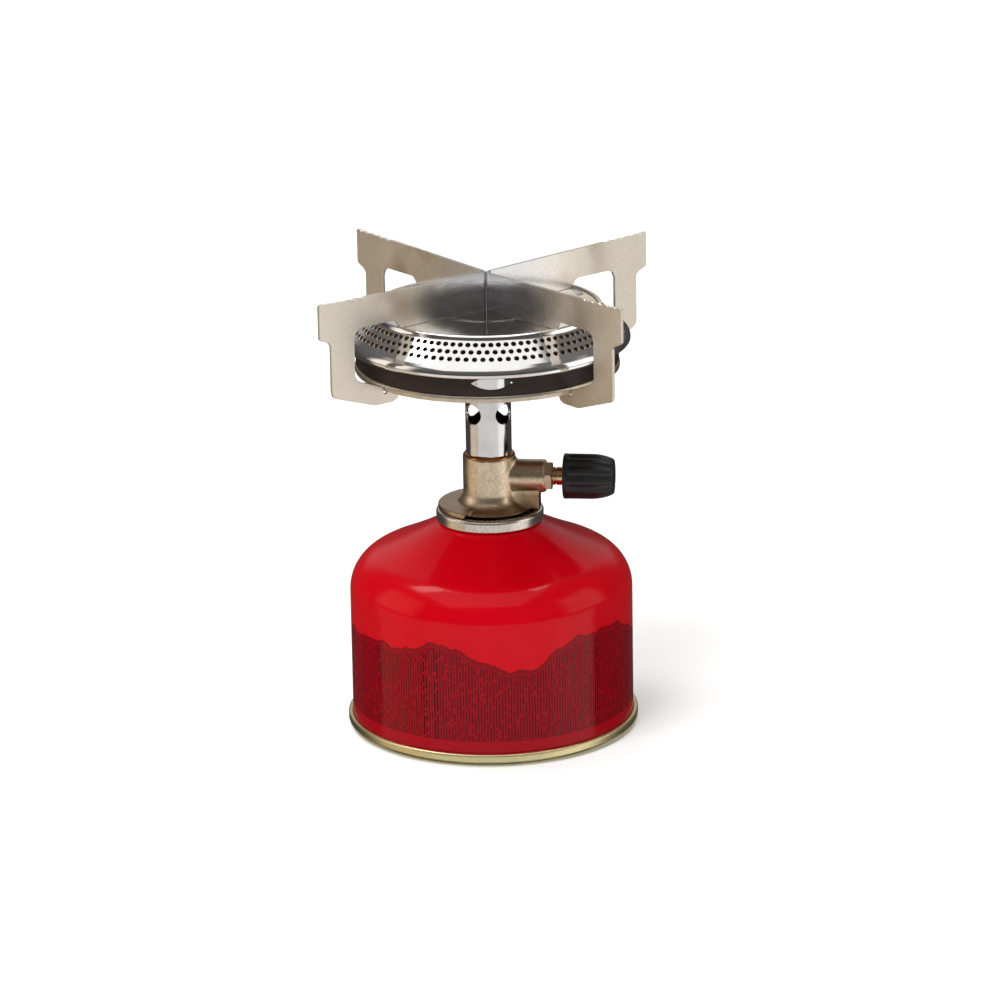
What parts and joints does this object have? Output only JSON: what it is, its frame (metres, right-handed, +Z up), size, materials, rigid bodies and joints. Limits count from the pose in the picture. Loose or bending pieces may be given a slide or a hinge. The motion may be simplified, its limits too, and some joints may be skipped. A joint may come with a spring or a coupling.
{
  "type": "camping stove",
  "caption": "Top-mount gas camping stove on a squat red screw-on cartridge, with a perforated round burner, four fixed pan-support arms and a side control knob.",
  "frame": {"origin": "centre of the cartridge's bottom rim, on the surface it stands on", "axes": "+Z up through the cartridge, mixing tube and burner; +X out along the flame-control spindle; the pan-support arms lie at 45 degrees to X"},
  "size_m": [0.0906, 0.0914, 0.1447],
  "materials": {
    "can_paint": "gloss red lacquer on steel",
    "seam_gold": "gold lacquer on steel, semi-gloss",
    "cup_steel": "satin tinned steel",
    "cast_nickel": "satin nickel on cast brass",
    "brass": "turned, bright",
    "braze_copper": "brazed copper, bright",
    "tube_chrome": "bright nickel-chrome tube",
    "cap_chrome": "mirror",
    "plate_nickel": "satin nickel on steel",
    "support_nickel": "polished nickel on steel, heat tinted",
    "skirt_dark": "semi-gloss dark brown enamel",
    "pan_steel": "plain steel",
    "knob_black": "satin moulded",
    "screw_steel": "zinc plated",
    "seal_rubber": "matt",
    "housing_plastic": "natural acetal",
    "spring_steel": "bright wire"
  },
  "bodies": {
    "cartridge": {"canister_shell": "can_paint", "canister_base": "seam_gold", "valve_cup": "cup_steel", "cup_gasket": "seal_rubber", "valve_housing": "housing_plastic", "stem_gasket": "seal_rubber", "valve_spring": "spring_steel"},
    "cartridge_stem": {"valve_stem": "housing_plastic"},
    "inlet_seal_carrier": {"inlet_seal": "seal_rubber"},
    "stove": {"valve_body": "cast_nickel", "inlet_nipple": "brass", "inlet_filter": "brass", "jet": "brass", "gland_nut": "cast_nickel", "burner_tube": "tube_chrome", "brazing_ring": "braze_copper", "base_plate": "plate_nickel", "skirt": "skirt_dark", "burner_pan": "pan_steel", "burner_cap": "cap_chrome", "pan_support_right": "support_nickel", "pan_support_left": "support_nickel"},
    "spindle_seal_carrier": {"spindle_seal": "seal_rubber"},
    "flame_control": {"spindle": "brass", "knob": "knob_black", "knob_screw": "screw_steel"}
  },
  "joints": [
    {"name": "stove_lift", "type": "slide", "parent": "cartridge", "child": "inlet_seal_carrier", "axis": [0, 0, 1], "range_m": [0, 0.00544]},
    {"name": "stove_turn", "type": "hinge", "parent": "inlet_seal_carrier", "child": "stove", "pos_m": [0, 0, 0.06815], "axis": [0, 0, 1], "range_deg": [0, 2160]},
    {"name": "stem_travel", "type": "slide", "parent": "cartridge", "child": "cartridge_stem", "axis": [0, 0, 1], "range_m": [0, 0.0012], "deforming": ["valve_spring"]},
    {"name": "spindle_travel", "type": "slide", "parent": "stove", "child": "spindle_seal_carrier", "axis": [1, 0, 0], "range_m": [0, 0.00187]},
    {"name": "knob_turn", "type": "hinge", "parent": "spindle_seal_carrier", "child": "flame_control", "pos_m": [0.0144, 0, 0.0789], "axis": [1, 0, 0], "range_deg": [0, 900.5]}
  ],
  "couplings": [
    {"joint": "stove_lift", "follows": "stove_turn", "m_per_rad": 0.00014438},
    {"joint": "stem_travel", "follows": "stove_turn", "m_per_rad": 0.000031831},
    {"joint": "knob_turn", "follows": "spindle_travel", "rad_per_m": 8377.6}
  ]
}
